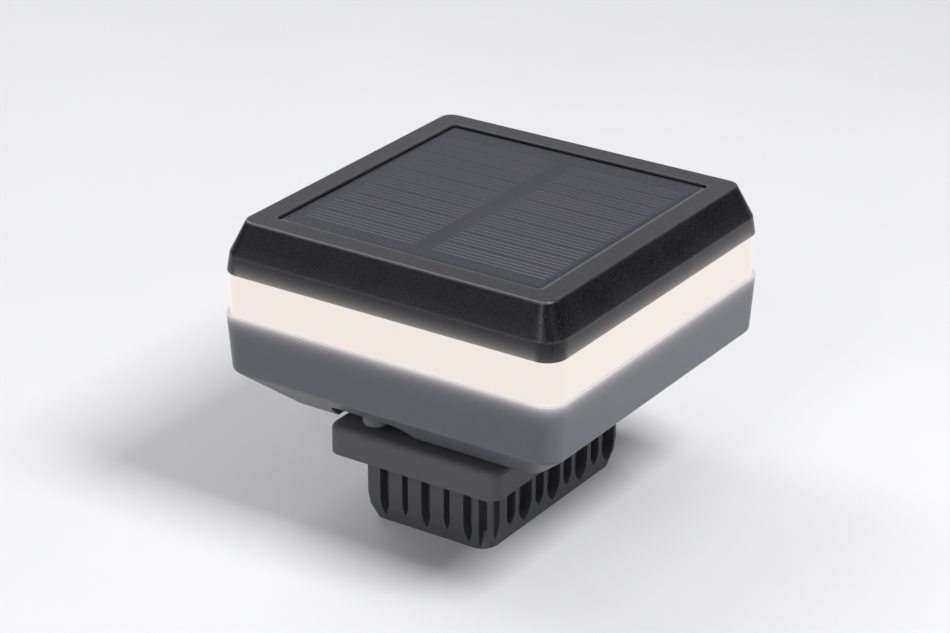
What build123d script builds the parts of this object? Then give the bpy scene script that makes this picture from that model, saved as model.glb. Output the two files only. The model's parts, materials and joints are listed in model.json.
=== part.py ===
from build123d import *
from math import asin, atan2, cos, radians, sin, tan
import os

# Solar lamp for the end of a hollow rectangular post. Millimetres, +Z up.
# The origin is the centre of the plug's lower end. The post's long side runs along Y.
# The finger recess with its push button is on the -Y side.

# ---------------------------------------------------------------- driving dimensions
# Heights, one above the other
plug_depth = 17.5            # part of the plug that enters the post
flange_thickness = 7.2
neck_height = 2.6            # gap between the flange and the lamp
chamfer_height = 9.4         # sloped underside of the lower housing
wall_height = 14.0           # upright wall of the lower housing
band_height = 10.3           # lit band between the two mouldings
skirt_height = 4.5           # nearly upright lower part of the top cover
slope_height = 7.7           # sloped upper part of the top cover

# Post plug
plug_width = 33.4
plug_length = 56.6
plug_corner = 0.8
plug_end_width = 32.8        # lower end, drawn in so that it finds the post
plug_end_length = 54.8
plug_end_corner = 4.0
lead_in_height = 3.2
flange_width = 46.6
flange_length = 69.4
flange_corner = 3.4
flange_round = 1.6
neck_width = 28.0
neck_length = 48.0
neck_corner = 3.0
plug_skin = 1.5              # wall behind the deepest groove
plug_web = 4.7               # flange left above the hollow
plug_hollow_corner = 4.0

# Grooves of the plug
end_margin = 5.1             # faces that look along Y: outermost groove's middle to the corner
end_wide_groove = 2.45
end_narrow_groove = 1.6
side_margin = 4.2            # faces that look along X
side_wide_groove = 5.3
side_narrow_groove = 3.45
side_last_groove = 2.6       # beside the seam slot
wide_groove_depth = 2.9
narrow_groove_depth = 2.5
groove_shoulder = 6.0        # below this height a groove narrows
wide_groove_tip = 1.4        # height of its pointed lower end
narrow_groove_tip = 2.9
last_groove_tip = 1.9
seam_slot_width = 2.1        # clears the weld inside a steel post
seam_slot_depth = 4.2
seam_slot_turn = 17.0
seam_slot_floor = 5.6
seam_slot_end = 1.5          # depth at the plug's lower end

# Lower housing
floor_inset = 11.15          # flat underside, inwards from the cover's lower edge
floor_corner = 3.5
floor_round = 0.8
hip_inset = 0.6              # top of the chamfer
hip_corner = 4.3
hip_round = 1.6
rim_overhang = 0.35          # the housing's rim, outwards from the cover's lower edge
rim_corner = 5.0
housing_wall = 2.2
housing_floor = 2.2

# Finger recess and button
recess_x = -9.5
recess_width = 20.9
recess_height = 4.9
recess_depth = 5.0           # from the edge of the flat underside inwards
recess_corner = 3.4
recess_flare = 1.4
recess_skin = 2.0
button_outset = 0.25         # from the edge of the flat underside outwards, to the button's axis
button_radius = 3.0
button_drop = 3.8            # how far the button stands below the recess's ceiling
button_dome = 0.8
button_travel = 1.0
button_play = 0.06           # radial running clearance
button_flange_radius = 4.0
button_flange = 1.0
guide_height = 2.4           # boss round the button, above the recess's skin
guide_wall = 1.8
o_ring_section = 0.34
o_ring_groove = 0.66
o_ring_height = 1.7          # above the recess's ceiling

# Top cover
lamp_width = 90.0            # the cover's lower edge
edge_corner = 4.95
shoulder_inset = 0.35
shoulder_corner = 5.6
shoulder_round = 0.4
crown_inset = 3.95
crown_corner = 3.0
crown_round = 0.5
opening_round = 0.4          # upper edge of the panel's recess
edge_round = 0.35
cover_wall = 2.0
ceiling_thickness = 2.2

# Diffuser, seals and the frame that carries the LEDs
diffuser_inset = 0.5
diffuser_wall = 2.6
tongue_height = 2.4          # runs inside the housing and inside the cover
seal_thickness = 0.9
slip = 0.15                  # clearance between parts that are pushed together
ledge_thickness = 1.2
carrier_gap = 0.5            # between the carrier's flanges and the diffuser
carrier_seat = 1.9           # width of the ledges under the carrier's flanges
carrier_depth = 6.4          # from the diffuser's inner face to the wall that carries the LEDs
carrier_flange = 1.2
carrier_wall = 1.4
carrier_corner = 5.0
strip_thickness = 0.3
strip_height = 8.0
strip_join = 3.0             # opening where the strip's two ends meet
led_length = 3.5
led_height = 2.8
led_thickness = 0.8
leds_per_side = 6

# Solar panel
panel_border = 5.65          # flat rim of the cover round the panel
panel_gap = 0.3              # all round the panel
panel_corner = 0.8
panel_sink = 0.4             # window below the cover's rim
window_thickness = 0.8
cell_thickness = 0.3
cell_side_margin = 2.6       # from the panel's left and right edges
cell_end_margin = 4.7        # from its front and back edges
cell_column_gap = 4.4
cell_rows = 10
cell_row_gap = 0.55
cell_shift = 1.0             # along Y, from the panel's middle
window_bevel = 0.25          # height of the gentle slope along the window's edge
window_slope = 1.1           # width of that slope
window_edge = 0.15
panel_board_thickness = 1.2
tape_thickness = 0.5
tape_width = 5.0
tape_margin = 0.8

# Case screws and their posts
case_screw_length = 24.0
case_head_recess = 3.2
boss_radius = 4.0
boss_height = 16.0
post_radius = 3.6
post_gap = 0.3               # between the housing's bosses and the cover's posts
post_side_gap = 1.2          # between the cover's posts and the carrier
m3_radius = 1.5
m3_head_radius = 2.8
m3_head = 2.0
m3_clearance = 0.2
head_clearance = 0.3
pilot_spare = 1.0

# Screws of the plug
plug_screw_x = 9.0
plug_screw_y = 18.0
plug_screw_length = 14.0
plug_boss_radius = 3.2
plug_boss_cap = 1.5

# Main board
board_shift = -1.0           # along X, from the button
board_overhang = 3.9         # along Y, past the button
board_width = 20.0
board_length = 56.0
board_thickness = 1.6
board_corner = 1.0
board_screw_inset = 2.7
board_front_screw = 17.0     # front pair of screws, from the board's front end
board_screw_length = 6.0
board_boss_radius = 2.6
m2_radius = 1.0
m2_head_radius = 1.9
m2_head = 1.3
chip_at = (-2.5, 2.0)        # places on the board, from its middle
chip_size = (5.0, 3.8, 1.5)
chip_leg = 1.2
chip_leg_width = 0.4
chip_leg_height = 0.5
chip_leg_pitch = 1.27
coil_at = (5.5, -3.5)
coil_radius = 3.5
coil_height = 5.0
coil_waist = 0.5
capacitor_at = (-5.5, -18.0)
capacitor_radius = 3.15
capacitor_height = 8.0
capacitor_round = 0.5
passive_size = (2.0, 1.25, 0.7)
passive_at = [(3.0, 2.5), (3.0, 5.5), (-6.5, -4.5), (-3.0, -4.5), (2.5, -14.5), (6.0, -15.5)]
panel_socket_at = (-6.0, 13.0)
battery_socket_at = (5.8, 11.0)
led_socket_at = (0.5, 20.0)
socket_size = (6.0, 4.6, 6.0)
socket_wall = 0.7
socket_floor = 1.0
socket_play = 0.05
lead_plug_height = 8.0

# Push switch under the main board
switch_side = 7.2
switch_base = 0.6
switch_roof = 0.5
switch_spare = 0.3           # left above the plunger's head when the button is pressed
plunger_radius = 1.75
plunger_head_radius = 2.5
plunger_head = 0.8
plunger_reach = 1.3          # stands below the switch's body at rest

# Battery
battery_gap = 2.0            # between the main board and the battery holder
cell_radius = 7.25
can_length = 49.5
can_round = 0.6
nub_radius = 2.75
nub_length = 1.0
holder_gap = 0.25
holder_wall = 1.3
holder_base = 1.8
holder_end = 1.5
holder_lift = 0.2
leaf_room = 3.7              # for the leaf spring at the cell's flat end
holder_side_rise = 1.5       # side walls above the cell's middle
contact_thickness = 0.4
contact_width = 11.0
contact_tab = 3.0
contact_tab_width = 3.0
leaf_width = 8.0
leaf_thickness = 0.3
leaf_rise = 5.0              # each half of the leaf, up and down from the cell's axis
holder_screw_y = 10.0
holder_screw_length = 6.0
holder_head_recess = 1.3
m25_radius = 1.25
m25_head_radius = 2.2
m25_head = 1.1
holder_boss_radius = 2.8

# Leads
wire_radius = 0.5
wire_pitch = 2.0
lead_hole_radius = 3.0
lead_slot_height = 2.4
lead_slot_width = 4.4
panel_lead_at = (-0.5, 6.0)  # from the main board's middle
lead_start = 8.5             # straight run where a lead leaves its contact
lead_drop = 7.0              # straight run above a plug
lead_crest = 0.4             # share of the way from the plug where a lead is highest
lead_crest_rise = 0.5

# ---------------------------------------------------------------- derived heights
z_flange = plug_depth
z_neck = z_flange + flange_thickness
z_floor = z_neck + neck_height
z_hip = z_floor + chamfer_height
z_rim = z_hip + wall_height
z_edge = z_rim + band_height
z_shoulder = z_edge + skirt_height
z_crown = z_shoulder + slope_height

z_inner_floor = z_floor + housing_floor
z_shelf = z_rim - tongue_height - seal_thickness
z_ledge = z_edge + tongue_height + seal_thickness
z_window = z_crown - panel_sink
z_cells = z_window - window_thickness
z_panel_board = z_cells - panel_board_thickness
z_tape = z_panel_board - tape_thickness
z_ceiling = z_tape - ceiling_thickness
z_band = (z_rim + z_edge) / 2

z_recess = z_floor + recess_height
z_guide = z_recess + recess_skin + guide_height
z_button_top = z_guide + button_flange
z_switch = z_button_top + plunger_reach
switch_height = switch_base + plunger_head + button_travel + switch_spare + switch_roof
z_board = z_switch + switch_height
z_board_top = z_board + board_thickness

z_boss = z_floor + boss_height
z_case_head = z_floor + case_head_recess
z_hollow = z_neck - plug_web
z_plug_boss = z_hollow + plug_screw_length + pilot_spare + plug_boss_cap
z_holder = z_plug_boss
z_holder_head = z_holder + holder_base - holder_head_recess
z_cell_axis = z_holder + holder_base + holder_lift + cell_radius
z_tab = z_holder + holder_base + 2 * cell_radius
z_plug = z_board_top + socket_floor + lead_plug_height

# ---------------------------------------------------------------- derived widths and places
floor_width = lamp_width - 2 * floor_inset
hip_width = lamp_width - 2 * hip_inset
rim_width = lamp_width + 2 * rim_overhang
shoulder_width = lamp_width - 2 * shoulder_inset
crown_width = lamp_width - 2 * crown_inset
diffuser_width = lamp_width - 2 * diffuser_inset
diffuser_corner = edge_corner - diffuser_inset
diffuser_bore = diffuser_width - 2 * diffuser_wall
diffuser_bore_corner = diffuser_corner - diffuser_wall
cover_bore = lamp_width - 2 * cover_wall
cover_bore_corner = edge_corner - cover_wall
housing_bore = rim_width - 2 * housing_wall
housing_bore_corner = rim_corner - housing_wall
carrier_outer = diffuser_bore - 2 * carrier_gap
ledge_bore = carrier_outer - 2 * carrier_seat
carrier_width = diffuser_bore - 2 * carrier_depth
carrier_bore = carrier_width - 2 * carrier_wall
case_screw_at = carrier_bore / 2 - post_side_gap - post_radius

panel_opening = crown_width - 2 * panel_border
panel_side = panel_opening - 2 * panel_gap
cell_width = (panel_side - 2 * cell_side_margin - cell_column_gap) / 2
cell_pitch = (panel_side - 2 * cell_end_margin) / cell_rows

button_y = -floor_width / 2 - button_outset
button_bore = button_radius + button_play
board_x = recess_x + board_shift
board_y = button_y - board_overhang + board_length / 2
holder_width = 2 * (cell_radius + holder_gap + holder_wall)
holder_inner_length = can_length + nub_length + leaf_room + 2 * contact_thickness
holder_length = holder_inner_length + 2 * holder_end
battery_x = board_x + board_width / 2 + battery_gap + holder_width / 2
nub_end = holder_inner_length / 2 - contact_thickness
flat_end = nub_end - nub_length - can_length
smallest_corner = 0.5
overrun = 1.0                # cutters run this far past what they cut


def corners(x, y, across, along):
    """The four corners of a rectangle round (x, y), given its half sizes."""
    return [(x + side * across, y + end * along) for side in (-1, 1) for end in (-1, 1)]


case_screw_places = corners(0, 0, case_screw_at, case_screw_at)
plug_screw_places = corners(0, 0, plug_screw_x, plug_screw_y)
board_screw_across = board_width / 2 - board_screw_inset
board_screw_along = (board_length - board_screw_inset - board_front_screw) / 2
board_screw_y = board_y + (board_front_screw - board_screw_inset) / 2
board_screw_places = corners(board_x, board_screw_y, board_screw_across, board_screw_along)
holder_screw_places = [(battery_x, -holder_screw_y), (battery_x, holder_screw_y)]
socket_places = [(board_x + x, board_y + y) for x, y in (panel_socket_at, battery_socket_at, led_socket_at)]


# ---------------------------------------------------------------- shared shapes
def rounded(width, length, corner, z):
    """Rounded rectangle centred on the Z axis, at height z."""
    return Plane.XY.offset(z) * RectangleRounded(width, length, max(corner, smallest_corner))


def prism(width, length, corner, z, height):
    return extrude(rounded(width, length, corner, z), height)


def tapered(sections):
    """Body with straight sides through sections of (width, length, corner, z)."""
    return loft([rounded(*section) for section in sections], ruled=True)


def inside(width, outer_width, outer_corner):
    """Corner radius of a square that keeps an even wall inside an outer one."""
    return max(outer_corner - (outer_width - width) / 2, smallest_corner)


def rod(radius, x, y, z, height):
    """Upright cylinder that starts at height z."""
    return Pos(x, y, z + height / 2) * Cylinder(radius, height)


def block(size, x, y, z):
    """Upright box that stands on height z."""
    return Pos(x, y, z + size[2] / 2) * Box(*size)


def joined(shapes):
    """Loose pieces of one kind, kept as separate solids."""
    return Compound(children=[solid for shape in shapes for solid in shape.solids()])


def pan_screw(radius, head_radius, head, length):
    """Screw that points up, with the underside of its head at height 0."""
    crown = Pos(0, 0, -head / 2) * Cylinder(head_radius, head)
    crown = fillet(crown.edges().group_by(Axis.Z)[0], head * 0.45)
    cross = Box(head_radius, radius / 2, head) + Box(radius / 2, head_radius, head)
    shank = Pos(0, 0, length / 2) * Cylinder(radius, length)
    shank = chamfer(shank.edges().group_by(Axis.Z)[-1], radius / 3)
    return crown - Pos(0, 0, -head) * cross + shank


# ---------------------------------------------------------------- post plug
def groove(width, depth, tip):
    """Cutter for a face that lies at y = 0 and looks along -Y. Its lower end is a pointed arch."""
    mouth = width / 2
    rise = groove_shoulder - tip
    radius = (mouth ** 2 + rise ** 2) / (2 * mouth)
    turn = asin(rise / radius) / 2
    bulge = (mouth - radius * (1 - cos(turn)), groove_shoulder - radius * sin(turn))
    top = Polyline((mouth, groove_shoulder), (mouth, z_flange), (-mouth, z_flange), (-mouth, groove_shoulder))
    right = ThreePointArc((mouth, groove_shoulder), bulge, (0, tip))
    left = ThreePointArc((-mouth, groove_shoulder), (-bulge[0], bulge[1]), (0, tip))
    face = make_face(top.edges() + right.edges() + left.edges())
    return extrude(Plane.XZ.offset(overrun) * face, -(depth + overrun))


def end_grooves():
    """Row across the end that looks along -Y: every other groove is narrow."""
    pitch = (plug_width - 2 * end_margin) / 4
    wide = groove(end_wide_groove, wide_groove_depth, wide_groove_tip)
    narrow = groove(end_narrow_groove, narrow_groove_depth, narrow_groove_tip)
    return [Pos(step * pitch, -plug_length / 2, 0) * (narrow if step % 2 else wide) for step in range(-2, 3)]


def side_grooves():
    """Row along the side that looks along +X, with a slim groove beside the seam slot."""
    pitch = (plug_length - 2 * side_margin) / 8
    wide = groove(side_wide_groove, wide_groove_depth, wide_groove_tip)
    narrow = groove(side_narrow_groove, narrow_groove_depth, narrow_groove_tip)
    slim = groove(side_last_groove, wide_groove_depth, last_groove_tip)
    row = [(step, narrow if step % 2 else wide) for step in range(-3, 5)] + [(-4, slim)]
    return [Pos(plug_width / 2, step * pitch, 0) * Rot(0, 0, 90) * cutter for step, cutter in row]


def seam_slot():
    """Cutter for the slot at a corner, with a sloped lower end."""
    outline = [
        (-overrun, z_flange),
        (seam_slot_depth, z_flange),
        (seam_slot_depth, seam_slot_floor),
        (seam_slot_end, 0),
        (seam_slot_end, -overrun),
        (-overrun, -overrun),
    ]
    slot = extrude(Plane.YZ * make_face(Polyline(*outline, close=True)), seam_slot_width / 2, both=True)
    return Pos((plug_width - seam_slot_width) / 2, -plug_length / 2, 0) * Rot(0, 0, seam_slot_turn) * slot


def plug_shank():
    eased_width = (plug_width + plug_end_width) / 2
    eased_length = plug_length - (plug_width - plug_end_width) / 2
    body = tapered([
        (plug_width, plug_length, plug_corner, z_flange),
        (plug_width, plug_length, plug_corner, 2 * lead_in_height),
        (eased_width, eased_length, 2 * plug_corner, lead_in_height),
        (plug_end_width, plug_end_length, plug_end_corner, 0),
    ])
    for cutter in end_grooves() + side_grooves() + [seam_slot()]:
        body -= cutter
        body -= Rot(0, 0, 180) * cutter
    return body


def post_plug():
    flange = prism(flange_width, flange_length, flange_corner, z_flange, flange_thickness)
    flange = fillet(flange.edges().filter_by_position(Axis.Z, z_neck, z_neck), flange_round)
    neck = prism(neck_width, neck_length, neck_corner, z_neck, neck_height)
    wall = wide_groove_depth + plug_skin
    hollow = prism(plug_width - 2 * wall, plug_length - 2 * wall, plug_hollow_corner, 0, z_hollow)
    body = plug_shank() + flange + neck - hollow
    for x, y in plug_screw_places:
        body -= rod(m3_radius + m3_clearance, x, y, z_hollow, z_floor - z_hollow)
    return body


def plug_screws():
    screw = pan_screw(m3_radius, m3_head_radius, m3_head, plug_screw_length)
    return joined(Pos(x, y, z_hollow) * screw for x, y in plug_screw_places)


# ---------------------------------------------------------------- lower housing
def housing_outline():
    body = tapered([
        (floor_width, floor_width, floor_corner, z_floor),
        (hip_width, hip_width, hip_corner, z_hip),
        (rim_width, rim_width, rim_corner, z_rim),
    ])
    body = fillet(body.edges().filter_by_position(Axis.Z, z_hip, z_hip), hip_round)
    return fillet(body.edges().filter_by_position(Axis.Z, z_floor, z_floor), floor_round)


def housing_hollow():
    """Inside of the tray: an even wall behind the chamfer, and a straight seat for the diffuser."""
    slope = atan2(chamfer_height, (hip_width - floor_width) / 2)
    hip = hip_width - 2 * housing_wall
    z_inner_hip = z_hip + housing_wall * (1 - sin(slope)) / cos(slope)
    floor = hip - 2 * (z_inner_hip - z_inner_floor) / tan(slope)
    return tapered([
        (floor, floor, floor_corner, z_inner_floor),
        (hip, hip, hip_corner - housing_wall, z_inner_hip),
        (housing_bore, housing_bore, housing_bore_corner, z_shelf),
        (housing_bore, housing_bore, housing_bore_corner, z_rim + overrun),
    ])


def recess_shape(skin):
    """Finger recess grown by a skin: rounded upper corners, and sides that flare out at the floor."""
    half = recess_width / 2 + skin
    top = z_recess + skin
    low = z_floor - recess_flare / 3
    below = low - overrun
    wide = half + 2 * recess_flare
    outline = [
        (-wide, below), (-wide, low), (-half, low), (-half, top),
        (half, top), (half, low), (wide, low), (wide, below),
    ]
    face = make_face(Polyline(*outline, close=True))
    face = fillet(face.vertices().filter_by_position(Axis.Y, top, top), recess_corner + skin)
    lips = face.vertices().filter_by_position(Axis.Y, low, low)
    face = fillet(lips.filter_by(lambda v: abs(v.X) < half + recess_flare), recess_flare)
    back = recess_depth + skin - floor_width / 2
    plane = Plane(origin=(recess_x, back, 0), x_dir=(1, 0, 0), z_dir=(0, -1, 0))
    return extrude(plane * face, lamp_width / 2)


def ledge(outer, corner, z_seat, side):
    """Ring inside a wall with a flat seat at z_seat, backed by a 45 degree slope. side is +1 or -1."""
    z_slope = z_seat + side * ledge_thickness
    z_end = z_slope + side * (outer - ledge_bore) / 2
    body = prism(outer, outer, corner, min(z_seat, z_end), abs(z_end - z_seat))
    bore_corner = inside(ledge_bore, diffuser_bore, diffuser_bore_corner)
    return body - tapered([
        (ledge_bore, ledge_bore, bore_corner, z_seat - side * overrun),
        (ledge_bore, ledge_bore, bore_corner, z_slope),
        (outer, outer, corner, z_end),
    ])


def housing_bosses(outline):
    """Posts for the screws, and the guide round the button."""
    body = rod(button_bore + guide_wall, recess_x, button_y, z_recess, z_guide - z_recess)
    for x, y in case_screw_places:
        body += rod(boss_radius, x, y, z_floor, boss_height) & outline
    for x, y in plug_screw_places:
        body += rod(plug_boss_radius, x, y, z_floor, z_plug_boss - z_floor)
    z_root = z_inner_floor - housing_floor / 2
    for x, y in board_screw_places:
        body += rod(board_boss_radius, x, y, z_root, z_board - z_root)
    for x, y in holder_screw_places:
        body += rod(holder_boss_radius, x, y, z_root, z_holder - z_root)
    return body


def housing_holes():
    body = rod(button_bore, recess_x, button_y, z_recess - overrun, z_guide - z_recess + 2 * overrun)
    for x, y in case_screw_places:
        body += rod(m3_radius + m3_clearance, x, y, z_floor, boss_height)
        body += rod(m3_head_radius + head_clearance, x, y, z_floor, case_head_recess)
    for x, y in plug_screw_places:
        body += rod(m3_radius, x, y, z_floor, z_plug_boss - plug_boss_cap - z_floor)
    board_pilot = board_screw_length - board_thickness + pilot_spare
    for x, y in board_screw_places:
        body += rod(m2_radius, x, y, z_board - board_pilot, board_pilot)
    holder_pilot = holder_screw_length - (holder_base - holder_head_recess) + pilot_spare
    for x, y in holder_screw_places:
        body += rod(m25_radius, x, y, z_holder - holder_pilot, holder_pilot)
    return body


def lower_housing():
    outline = housing_outline()
    body = outline - housing_hollow()
    body += ledge(rim_width - housing_wall, rim_corner - housing_wall / 2, z_shelf, -1)
    body += recess_shape(recess_skin) & outline
    body += housing_bosses(outline)
    return body - recess_shape(0) - housing_holes()


def housing_screws():
    screw = pan_screw(m3_radius, m3_head_radius, m3_head, case_screw_length)
    return joined(Pos(x, y, z_case_head) * screw for x, y in case_screw_places)


# ---------------------------------------------------------------- push button
def button_cap():
    z_tip = z_recess - button_drop
    stem = rod(button_radius, recess_x, button_y, z_tip, z_guide - z_tip)
    stem = fillet(stem.edges().group_by(Axis.Z)[0], button_dome)
    body = stem + rod(button_flange_radius, recess_x, button_y, z_guide, button_flange)
    z_groove = z_recess + o_ring_height - o_ring_groove
    ring = rod(button_radius + overrun, recess_x, button_y, z_groove, 2 * o_ring_groove)
    return body - (ring - rod(button_radius - o_ring_groove, recess_x, button_y, z_groove, 2 * o_ring_groove))


def button_o_ring():
    middle = (button_radius - o_ring_groove + button_bore) / 2
    return Pos(recess_x, button_y, z_recess + o_ring_height) * Torus(middle, o_ring_section)


def switch_plunger():
    z_head = z_switch + switch_base
    stem = rod(plunger_radius, recess_x, button_y, z_button_top, z_head - z_button_top)
    return stem + rod(plunger_head_radius, recess_x, button_y, z_head, plunger_head)


def switch_body():
    body = block((switch_side, switch_side, switch_height), recess_x, button_y, z_switch)
    body = chamfer(body.edges().filter_by(Axis.Z), switch_base)
    body -= rod(plunger_radius + button_play, recess_x, button_y, z_switch, switch_base)
    chamber = switch_height - switch_base - switch_roof
    return body - rod(plunger_head_radius + button_play, recess_x, button_y, z_switch + switch_base, chamber)


# ---------------------------------------------------------------- top cover
def cover_outline():
    body = tapered([
        (lamp_width, lamp_width, edge_corner, z_edge),
        (shoulder_width, shoulder_width, shoulder_corner, z_shoulder),
        (crown_width, crown_width, crown_corner, z_crown),
    ])
    body = fillet(body.edges().filter_by_position(Axis.Z, z_crown, z_crown), crown_round)
    body = fillet(body.edges().filter_by_position(Axis.Z, z_shoulder, z_shoulder), shoulder_round)
    return fillet(body.edges().filter_by_position(Axis.Z, z_edge, z_edge), edge_round)


def cover_hollow():
    """Inside of the cover: a straight seat for the diffuser, then an even wall up to the ceiling."""
    slope_wall = cover_wall / cos(atan2((shoulder_width - crown_width) / 2, slope_height))
    shoulder = shoulder_width - 2 * slope_wall
    top = shoulder - (shoulder_width - crown_width) * (z_ceiling - z_shoulder) / slope_height
    return tapered([
        (cover_bore, cover_bore, cover_bore_corner, z_edge - overrun),
        (cover_bore, cover_bore, cover_bore_corner, z_ledge),
        (shoulder, shoulder, shoulder_corner - cover_wall, z_shoulder),
        (top, top, crown_corner, z_ceiling),
    ])


def top_cover():
    outline = cover_outline()
    body = outline - cover_hollow()
    body += ledge(lamp_width - cover_wall, edge_corner - cover_wall / 2, z_ledge, 1) & outline
    body -= prism(panel_opening, panel_opening, panel_corner, z_tape, z_crown - z_tape + overrun)
    within = (crown_width - panel_border) / 2
    lip = body.edges().filter_by_position(Axis.Z, z_crown, z_crown)
    lip = lip.filter_by(lambda edge: max(abs(edge.center().X), abs(edge.center().Y)) < within)
    body = fillet(lip, opening_round)
    z_post = z_boss + post_gap
    pilot = z_case_head + case_screw_length + pilot_spare - z_post
    for x, y in case_screw_places:
        body += rod(post_radius, x, y, z_post, z_ceiling - z_post)
        body -= rod(m3_radius, x, y, z_post, pilot)
    x, y = board_x + panel_lead_at[0], board_y + panel_lead_at[1]
    return body - rod(lead_hole_radius, x, y, z_ceiling, ceiling_thickness)


# ---------------------------------------------------------------- solar panel
def cell_strips(side):
    """One column of cells. side is -1 for the left column, +1 for the right."""
    x = side * (cell_column_gap + cell_width) / 2
    size = (cell_width, cell_pitch - cell_row_gap, cell_thickness)
    rows = [cell_shift + cell_pitch * (row - (cell_rows - 1) / 2) for row in range(cell_rows)]
    return joined(block(size, x, y, z_cells) for y in rows)


def panel_window():
    eased = panel_side - 2 * window_edge
    top = eased - 2 * window_slope
    body = tapered([
        (panel_side, panel_side, panel_corner, z_cells),
        (panel_side, panel_side, panel_corner, z_window - window_bevel - window_edge),
        (eased, eased, panel_corner, z_window - window_bevel),
        (top, top, panel_corner, z_window),
    ])
    for strip in cell_strips(-1).solids() + cell_strips(1).solids():
        body -= strip
    return body


def panel_board():
    return prism(panel_side, panel_side, panel_corner, z_panel_board, panel_board_thickness)


def panel_adhesive():
    outer = panel_side - 2 * tape_margin
    inner = outer - 2 * tape_width
    body = prism(outer, outer, panel_corner, z_tape, tape_thickness)
    return body - prism(inner, inner, panel_corner, z_tape, tape_thickness)


# ---------------------------------------------------------------- diffuser and LEDs
def diffuser_section(width, corner, z, height):
    """Square ring with the diffuser's bore."""
    body = prism(width, width, corner, z, height)
    return body - prism(diffuser_bore, diffuser_bore, diffuser_bore_corner, z, height)


def upper_tongue(z, height):
    return diffuser_section(cover_bore - 2 * slip, cover_bore_corner - slip, z, height)


def lower_tongue(z, height):
    return diffuser_section(housing_bore - 2 * slip, housing_bore_corner - slip, z, height)


def diffuser_ring():
    band = diffuser_section(diffuser_width, diffuser_corner, z_rim, band_height)
    return band + upper_tongue(z_edge, tongue_height) + lower_tongue(z_rim - tongue_height, tongue_height)


def upper_gasket():
    return upper_tongue(z_ledge - seal_thickness, seal_thickness)


def lower_gasket():
    return lower_tongue(z_shelf, seal_thickness)


def led_carrier():
    """Frame of C section, open outwards, clamped between the two ledges."""
    height = z_ledge - z_shelf
    body = prism(carrier_width, carrier_width, carrier_corner, z_shelf, height)
    corner = inside(carrier_outer, diffuser_bore, diffuser_bore_corner)
    for z in (z_shelf, z_ledge - carrier_flange):
        body += prism(carrier_outer, carrier_outer, corner, z, carrier_flange)
    body -= prism(carrier_bore, carrier_bore, carrier_corner - carrier_wall, z_shelf, height)
    slot = Box(lead_slot_width, 4 * carrier_wall, lead_slot_height)
    return body - Pos(board_x + led_socket_at[0], carrier_width / 2, z_band) * slot


def led_strip():
    """Flexible board round the carrier, open where its two ends meet."""
    outer = carrier_width + 2 * strip_thickness
    z = z_band - strip_height / 2
    body = prism(outer, outer, carrier_corner + strip_thickness, z, strip_height)
    body -= prism(carrier_width, carrier_width, carrier_corner, z, strip_height)
    x = board_x + led_socket_at[0] + lead_slot_width + strip_join
    return body - block((strip_join, carrier_corner, strip_height), x, carrier_width / 2, z)


def led_packages():
    face = carrier_width / 2 + strip_thickness
    pitch = (carrier_width - 2 * carrier_corner) / leds_per_side
    package = Pos(0, -face - led_thickness / 2, z_band) * Box(led_length, led_thickness, led_height)
    package = chamfer(package.edges().group_by(Axis.Y)[0], led_thickness / 5)
    places = [pitch * (index - (leds_per_side - 1) / 2) for index in range(leds_per_side)]
    return joined(Rot(0, 0, 90 * side) * Pos(x, 0, 0) * package for side in range(4) for x in places)


# ---------------------------------------------------------------- main board
def on_board(place, size):
    """Box that stands on the main board, at a place measured from its middle."""
    return block(size, board_x + place[0], board_y + place[1], z_board_top)


def main_board():
    body = block((board_width, board_length, board_thickness), board_x, board_y, z_board)
    body = fillet(body.edges().filter_by(Axis.Z), board_corner)
    for x, y in board_screw_places:
        body -= rod(m2_radius + slip, x, y, z_board, board_thickness)
    return body


def board_screws():
    screw = Rot(180, 0, 0) * pan_screw(m2_radius, m2_head_radius, m2_head, board_screw_length)
    return joined(Pos(x, y, z_board_top) * screw for x, y in board_screw_places)


def controller_chip():
    """Eight-leg package: the legs run out at both long sides."""
    body = on_board(chip_at, chip_size)
    for step in (-1.5, -0.5, 0.5, 1.5):
        place = (chip_at[0] + step * chip_leg_pitch, chip_at[1])
        body += on_board(place, (chip_leg_width, chip_size[1] + 2 * chip_leg, chip_leg_height))
    return body


def boost_inductor():
    """Ferrite drum with a sunk winding."""
    x, y = board_x + coil_at[0], board_y + coil_at[1]
    waist_z, waist_height = z_board_top + coil_height / 4, coil_height / 2
    waist = rod(coil_radius + overrun, x, y, waist_z, waist_height)
    waist -= rod(coil_radius - coil_waist, x, y, waist_z, waist_height)
    return rod(coil_radius, x, y, z_board_top, coil_height) - waist


def reservoir_capacitor():
    x, y = board_x + capacitor_at[0], board_y + capacitor_at[1]
    body = rod(capacitor_radius, x, y, z_board_top, capacitor_height)
    return fillet(body.edges().group_by(Axis.Z)[-1], capacitor_round)


def board_passives():
    return joined(on_board(place, passive_size) for place in passive_at)


def lead_sockets():
    shells = []
    width, length, height = socket_size
    pocket = (width - 2 * socket_wall, length - 2 * socket_wall, height)
    for x, y in socket_places:
        shell = block(socket_size, x, y, z_board_top)
        shells.append(shell - block(pocket, x, y, z_board_top + socket_floor))
    return joined(shells)


def lead_plugs():
    margin = socket_wall + socket_play
    size = (socket_size[0] - 2 * margin, socket_size[1] - 2 * margin, lead_plug_height)
    return joined(block(size, x, y, z_board_top + socket_floor) for x, y in socket_places)


# ---------------------------------------------------------------- battery
def battery_cell():
    """Cylindrical cell along Y, with its nub at the +Y end."""
    lying = Rot(90, 0, 0)
    can = fillet(Cylinder(cell_radius, can_length).edges(), can_round)
    can = Pos(battery_x, flat_end + can_length / 2, z_cell_axis) * lying * can
    nub = Pos(battery_x, nub_end - nub_length / 2, z_cell_axis) * lying * Cylinder(nub_radius, nub_length)
    return can + nub


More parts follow.
